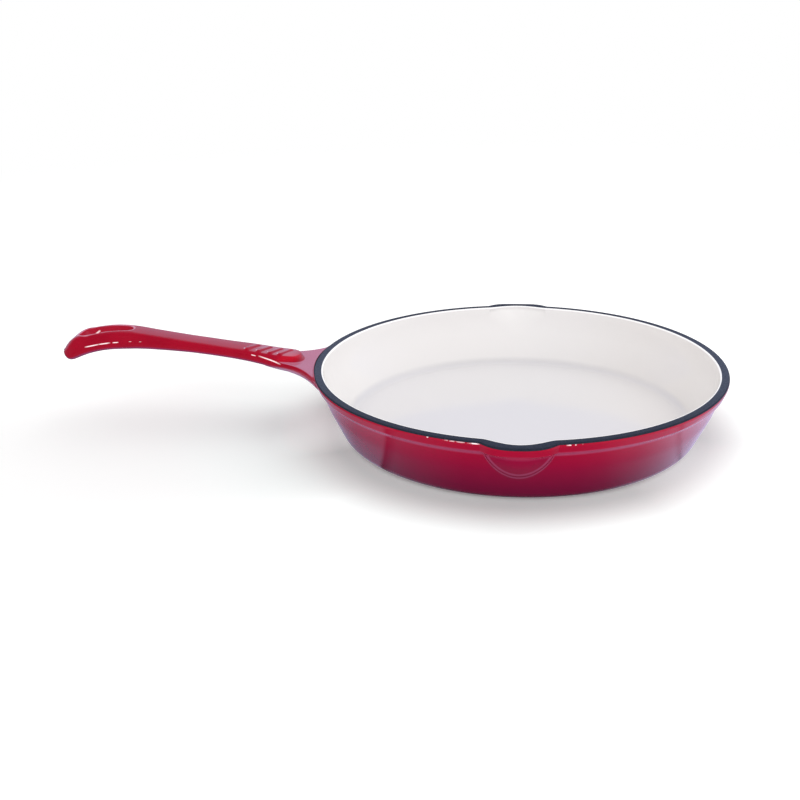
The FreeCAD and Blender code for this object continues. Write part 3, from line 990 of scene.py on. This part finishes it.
def dark_enamel(net):
    x, y, z = net.place
    grain = net.noise(scale=1600.0, detail=3.0, rough=0.6)
    colour = grain.ramp([(0.3, srgb(28, 33, 46)), (0.7, srgb(44, 51, 66))])
    # painted light: the flat top is lighter, least so towards the spouts
    top = grain.ramp([(0.3, srgb(48, 55, 70)), (0.7, srgb(78, 86, 104))])
    from_spouts = abs(y).fade(start=0.02, end=0.125, first=0.9, last=0.0)
    colour = colour.blend(top, by=net.normal[2].fade(start=0.90, end=0.99) * from_spouts)
    # painted glints along a pale edge where it meets the red coat, either side of the near
    # spout
    dark_edge_glints = (larger((x * 1000.0).bell(mid=-40.0, half=19.0, sharp=4.0),
                    (x * 1000.0).bell(mid=37.0, half=9.0, sharp=4.0))
             * z.fade(start=0.0414, end=0.0409) * (y < 0.0)
             * net.noise(scale=160.0).remap(start=0.42, end=0.55))
    return net.principled(
        Base_Color=colour.blend(srgb(226, 214, 214), by=dark_edge_glints),
        Roughness=net.noise(scale=700.0).remap(start=0.3, end=0.7, first=0.45, last=0.6),
        IOR=1.45,
        Specular_IOR_Level=0.2,
        Normal=net.bump(grain, strength=0.35, distance=0.0002))


def cast_iron(net):
    grain = net.noise(scale=500.0, detail=4.0, rough=0.6)
    return net.principled(
        Base_Color=grain.ramp([(0.3, srgb(44, 44, 47)), (0.7, srgb(72, 72, 76))]),
        Metallic=0.7,
        Roughness=grain.remap(start=0.3, end=0.7, first=0.55, last=0.75),
        Normal=net.bump(grain, strength=0.4, distance=0.0004))


def floor_diffuse(net, bearing):
    """The table itself; its glow lightens parts of the pan's shadow, and a painted shadow
    darkens it under the handle.
    """
    x, y, _ = net.place
    r = net.radius
    colour = net.noise(scale=3.0).ramp(
        [(0.3, (0.925, 0.925, 0.93, 1)), (0.7, (0.94, 0.94, 0.945, 1))])
    # a cyan tint near the pan, painted to cancel the pink light bounced from the red coat
    near_pan = r.fade(start=0.13, end=0.25, first=1.0, last=0.0)
    colour = colour.blend((0.89, 0.948, 0.944, 1), by=near_pan)
    # the cast shadow leans to the front left, the rest of the table stays light
    shadow = bearing.bell(mid=0.40, half=0.17, sharp=4.0) * (x < 0.0)
    lift_level = x.fade(start=0.0, end=0.06, first=0.20, last=0.27)
    lift = r.fade(start=0.121, end=0.165, last=lift_level) * (1.0 - shadow)
    # painted shadow under the handle: a darker table colour and less glow
    under_handle = x.bell(mid=-0.215, half=0.105) * y.bell(mid=0.010, half=0.150)
    lift = lift * (1.0 - under_handle * 0.75)
    left_glow = (bearing.bell(mid=0.47, half=0.10) * (x < 0.0)
                 * r.fade(start=0.165, end=0.125, last=0.20))
    right_glow = (bearing.bell(mid=0.32, half=0.13) * (x > 0.0)
                  * r.fade(start=0.175, end=0.125, last=0.10))
    base_glow = r.fade(start=0.107, end=0.121, first=0.15, last=0.05)
    return net.principled(
        Base_Color=colour.blend((0.35, 0.35, 0.35, 1), by=under_handle * 0.085),
        Roughness=0.9,
        Emission_Color=(1, 1, 1, 1),
        Emission_Strength=base_glow + (lift + left_glow) + right_glow,
        Specular_IOR_Level=0.0)


def tone(value):
    return (value, value * 0.96, value * 1.36, 1)


# what a mirror-like surface sees of the table, by bearing from the front:
# dark straight ahead, pale to either side and behind
MIRROR_RIGHT = ((0.0, 0.10), (0.10, 0.10), (0.15, 0.16), (0.20, 0.36), (0.28, 0.52),
                (0.325, 0.64), (0.345, 0.38), (0.36, 0.66), (0.45, 0.74), (1.0, 0.55))
MIRROR_LEFT = ((0.0, 0.10), (0.09, 0.10), (0.16, 0.20), (0.235, 0.28), (0.262, 0.10),
               (0.272, 0.46), (0.36, 0.34), (0.5, 0.42), (1.0, 0.50))


def floor_mirror(net, bearing):
    x, y, _ = net.place
    right, left = (bearing.ramp([(place, tone(value)) for place, value in stops], "LINEAR")
                   for stops in (MIRROR_RIGHT, MIRROR_LEFT))
    left = left.blend(tone(0.12), by=x.fade(start=-0.15, end=-0.20))
    left = left.blend(tone(0.52), by=y.fade(start=-0.02, end=0.5))
    return net.add("Emission", {0: left.blend(right, by=x > 0.0)})


def floor_paper(net):
    x, y, _ = net.place
    # 0 straight in front of the pan, 1 straight behind it
    bearing = net.math("ARCTAN2", abs(x), y * -1.0) / math.pi
    glossy_ray = net.add("LightPath", out="Is Glossy Ray")
    table = net.mix_shader(glossy_ray, floor_diffuse(net, bearing),
                           floor_mirror(net, bearing))
    # the far part runs out to plain white
    white = net.add("Emission", {0: (1, 1, 1, 1)})
    far = glossy_ray.sibling("Is Camera Ray") * net.radius.fade(start=0.45, end=1.2)
    return net.mix_shader(far, table, white)


# ---------------------------------------------------------------- the pieces
# mesh, material, name of the material and its slot, CAD piece, object name
PIECES = (
    (red_coat, red_enamel, "red_gloss_enamel", "exterior_enamel", "exterior_coat"),
    (dark_band, dark_enamel, "dark_ground_enamel", "rim_enamel", "rim_band"),
    (cream_coat, cream_enamel, "cream_enamel", "interior_enamel", "interior_coat"),
    (iron_core, cast_iron, "bare_cast_iron", "iron_casting", "iron_casting_body"),
)
for build, shader_of, material_name, cad_name, object_name in PIECES:
    piece = build()
    piece.data.materials.append(make_material(material_name, shader_of))
    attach(piece, "root")
    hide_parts(cad_name)
    piece.name = object_name


# ------------------------------------------------------------------- studio, m
def add_floor():
    mesh = bpy.data.meshes.new("floor")
    grid = bmesh.new()
    bmesh.ops.create_grid(grid, x_segments=8, y_segments=8, size=14.0)
    grid.to_mesh(mesh)
    grid.free()
    floor = bpy.data.objects.new("floor", mesh)
    floor.location = (0, 0, -0.0004)
    bpy.context.scene.collection.objects.link(floor)
    floor.data.materials.append(make_material("floor_paper", floor_paper))


def add_light(name, place, target, width, height, power):
    """Rectangular light that reflections don't show."""
    light = bpy.data.lights.new(name, "AREA")
    light.shape = "RECTANGLE"
    light.size, light.size_y = width, height
    light.energy = power
    ob = bpy.data.objects.new(name, light)
    ob.location = place
    aim = Vector(target) - Vector(place)
    ob.rotation_euler = aim.to_track_quat("-Z", "Y").to_euler()
    bpy.context.scene.collection.objects.link(ob)
    ob.visible_glossy = False


def set_world():
    """One background lights the pan, one is mirrored in it, one is seen."""
    world = bpy.data.worlds.new("studio")
    bpy.context.scene.world = world
    world.use_nodes = True
    net = Net(world.node_tree)

    def background(colour, strength):
        return net.add("Background", {0: colour, 1: strength})

    # reflections are dark in front and pale behind
    direction_y = net.split(net.add("TexCoord", out="Generated"))[1]
    mirrored = direction_y.remap(start=-0.15, end=0.55).ramp(
        [(0.0, (0.07, 0.06, 0.08, 1)), (1.0, (0.54, 0.58, 0.82, 1))], "LINEAR")
    glossy_ray = net.add("LightPath", out="Is Glossy Ray")
    lit = net.mix_shader(glossy_ray,
                         background((1.0, 0.995, 0.99, 1), strength=0.83),
                         background(mirrored, strength=1.0))
    seen = background((1, 1, 1, 1), strength=1.0)
    net.finish("OutputWorld", net.mix_shader(glossy_ray.sibling("Is Camera Ray"), lit, seen))


# the camera looks at a point from a distance, then turns with it about the pan's axis
CAMERA_TURN = math.radians(5.636)
CAMERA_DOWN = math.radians(21.106)
CAMERA_ROLL = math.radians(-1.066)
CAMERA_DISTANCE = 0.7392
CAMERA_TARGET = Vector((-0.07566, 0, 0.01904))


def add_camera():
    data = bpy.data.cameras.new("camera")
    data.sensor_width = 36.0
    data.lens = 51.696
    data.clip_end = 100.0
    camera = bpy.data.objects.new("camera", data)
    bpy.context.scene.collection.objects.link(camera)
    forward = Vector((0, math.cos(CAMERA_DOWN), -math.sin(CAMERA_DOWN)))
    up = Vector((0, math.sin(CAMERA_DOWN), math.cos(CAMERA_DOWN)))
    right = Vector((1, 0, 0))
    rolled_right = right * math.cos(CAMERA_ROLL) + up * math.sin(CAMERA_ROLL)
    rolled_up = -right * math.sin(CAMERA_ROLL) + up * math.cos(CAMERA_ROLL)
    place = CAMERA_TARGET - forward * CAMERA_DISTANCE
    axes = Matrix((rolled_right, rolled_up, -forward)).transposed()
    camera.matrix_world = (Matrix.Rotation(CAMERA_TURN, 4, "Z")
                           @ (Matrix.Translation(place) @ axes.to_4x4()))
    bpy.context.scene.camera = camera


add_floor()
add_light("top_soft", place=(0.8, 0.45, 1.6), target=(0, 0, 0),
          width=2.2, height=2.0, power=9.0)
add_light("front_soft", place=(0.4, -1.7, 1.0), target=(0, 0, 0.03),
          width=1.8, height=1.2, power=8.0)
set_world()
add_camera()

view = bpy.context.scene.view_settings
view.view_transform = "Standard"
view.look = "None"
view.exposure = 0.0
view.gamma = 1.0

bpy.context.view_layer.update()
